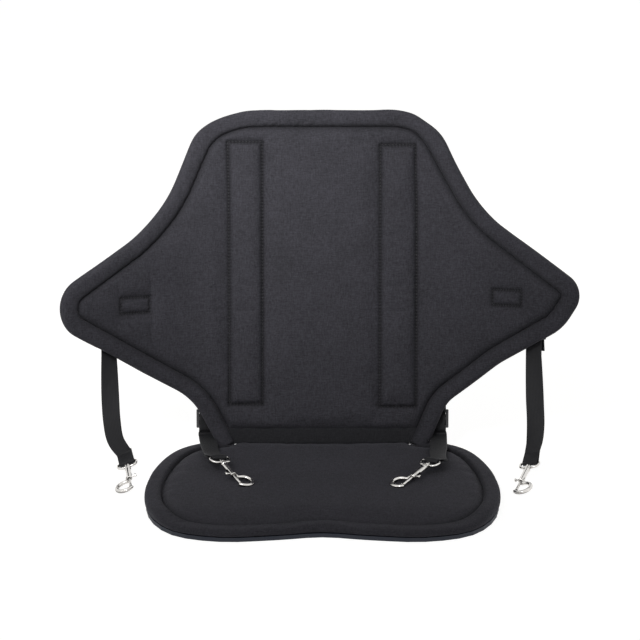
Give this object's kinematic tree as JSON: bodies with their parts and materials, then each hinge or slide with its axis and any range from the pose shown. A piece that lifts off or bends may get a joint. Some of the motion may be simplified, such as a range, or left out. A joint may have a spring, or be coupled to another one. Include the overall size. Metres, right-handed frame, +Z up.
{
  "type": "canoe seat",
  "caption": "Clip-on padded canoe seat: winged backrest sewn to a kidney-shaped seat pad, with webbing straps and swivel snap hooks.",
  "frame": {"origin": "the middle of the seat pad's underside, on the surface it rests on", "axes": "X to the right as seen from in front, Y towards the back, Z up"},
  "size_m": [0.5684, 0.3488, 0.3911],
  "materials": {
    "face_fabric": "charcoal woven polyester, fine heather, matt",
    "lining": "plain black woven lining",
    "foam": "closed-cell foam",
    "grip_sheet": "matt dark non-slip sheet",
    "webbing": "ribbed black polypropylene webbing",
    "slider_plastic": "moulded, dark grey, semi-gloss",
    "stay_plastic": "flat plastic stay, hidden",
    "nickel": "nickel-plated die casting, polished",
    "spring_steel": "plain spring wire"
  },
  "bodies": {
    "pads": {"backrest_foam_core": "foam", "backrest_front_panel": "face_fabric", "backrest_back_panel": "lining", "backrest_rim": "face_fabric", "stay_left": "stay_plastic", "stay_right": "stay_plastic", "hinge_strip": "webbing", "seat_base_sheet": "grip_sheet", "seat_foam_core": "foam", "seat_top_panel": "face_fabric", "seat_rim": "face_fabric", "wing_tab_left": "webbing", "lower_tab_left": "webbing", "side_slider_left": "slider_plastic", "lower_slider_left": "slider_plastic", "side_strap_left": "webbing", "lower_strap_left": "webbing", "wing_tab_right": "webbing", "lower_tab_right": "webbing", "side_slider_right": "slider_plastic", "lower_slider_right": "slider_plastic", "side_strap_right": "webbing", "lower_strap_right": "webbing"},
    "side_hook_left_eye": {"side_hook_left_eye": "nickel"},
    "side_hook_left_snap": {"side_hook_left_body": "nickel", "side_hook_left_spring": "spring_steel"},
    "side_hook_left_bolt": {"side_hook_left_bolt": "nickel"},
    "side_hook_right_eye": {"side_hook_right_eye": "nickel"},
    "side_hook_right_snap": {"side_hook_right_body": "nickel", "side_hook_right_spring": "spring_steel"},
    "side_hook_right_bolt": {"side_hook_right_bolt": "nickel"},
    "lower_hook_left_eye": {"lower_hook_left_eye": "nickel"},
    "lower_hook_left_snap": {"lower_hook_left_body": "nickel", "lower_hook_left_spring": "spring_steel"},
    "lower_hook_left_bolt": {"lower_hook_left_bolt": "nickel"},
    "lower_hook_right_eye": {"lower_hook_right_eye": "nickel"},
    "lower_hook_right_snap": {"lower_hook_right_body": "nickel", "lower_hook_right_spring": "spring_steel"},
    "lower_hook_right_bolt": {"lower_hook_right_bolt": "nickel"}
  },
  "joints": [
    {"name": "side_hook_left_tilt", "type": "hinge", "parent": "pads", "child": "side_hook_left_eye", "pos_m": [-0.2185, 0.0667, 0.01397], "axis": [-0.9437, -0.1019, -0.3147], "range_deg": [-50, 60]},
    {"name": "side_hook_left_swivel", "type": "hinge", "parent": "side_hook_left_eye", "child": "side_hook_left_snap", "pos_m": [-0.2185, 0.0667, 0.01397], "axis": [0.1483, -0.9807, -0.1271], "continuous": true},
    {"name": "side_hook_left_bolt_slide", "type": "slide", "parent": "side_hook_left_snap", "child": "side_hook_left_bolt", "axis": [-0.1483, 0.9807, 0.1271], "range_m": [0, 0.007], "stiffness_N_per_m": 120, "springref_m": -0.006, "deforming": ["side_hook_left_spring"]},
    {"name": "side_hook_right_tilt", "type": "hinge", "parent": "pads", "child": "side_hook_right_eye", "pos_m": [0.2317, 0.0607, 0.01591], "axis": [-0.8923, 0.3901, -0.2274], "range_deg": [-50, 60]},
    {"name": "side_hook_right_swivel", "type": "hinge", "parent": "side_hook_right_eye", "child": "side_hook_right_snap", "pos_m": [0.2317, 0.0607, 0.01591], "axis": [-0.3411, -0.9123, -0.2267], "continuous": true},
    {"name": "side_hook_right_bolt_slide", "type": "slide", "parent": "side_hook_right_snap", "child": "side_hook_right_bolt", "axis": [0.3411, 0.9123, 0.2267], "range_m": [0, 0.007], "stiffness_N_per_m": 120, "springref_m": -0.006, "deforming": ["side_hook_right_spring"]},
    {"name": "lower_hook_left_tilt", "type": "hinge", "parent": "pads", "child": "lower_hook_left_eye", "pos_m": [-0.114, 0.0305, 0.03229], "axis": [-0.8793, -0.4652, 0.1025], "range_deg": [0, 90]},
    {"name": "lower_hook_left_swivel", "type": "hinge", "parent": "lower_hook_left_eye", "child": "lower_hook_left_snap", "pos_m": [-0.114, 0.0305, 0.03229], "axis": [0.4406, -0.8761, -0.1959], "range_deg": [0, 50]},
    {"name": "lower_hook_left_bolt_slide", "type": "slide", "parent": "lower_hook_left_snap", "child": "lower_hook_left_bolt", "axis": [-0.4406, 0.8761, 0.1959], "range_m": [0, 0.007], "stiffness_N_per_m": 120, "springref_m": -0.006, "deforming": ["lower_hook_left_spring"]},
    {"name": "lower_hook_right_tilt", "type": "hinge", "parent": "pads", "child": "lower_hook_right_eye", "pos_m": [0.1196, 0.0225, 0.0313], "axis": [-0.8106, 0.584, -0.0428], "range_deg": [0, 90]},
    {"name": "lower_hook_right_swivel", "type": "hinge", "parent": "lower_hook_right_eye", "child": "lower_hook_right_snap", "pos_m": [0.1196, 0.0225, 0.0313], "axis": [0.5674, 0.8014, 0.1891], "range_deg": [0, 50]},
    {"name": "lower_hook_right_bolt_slide", "type": "slide", "parent": "lower_hook_right_snap", "child": "lower_hook_right_bolt", "axis": [0.5674, 0.8014, 0.1891], "range_m": [0, 0.007], "stiffness_N_per_m": 120, "springref_m": -0.006, "deforming": ["lower_hook_right_spring"]}
  ]
}
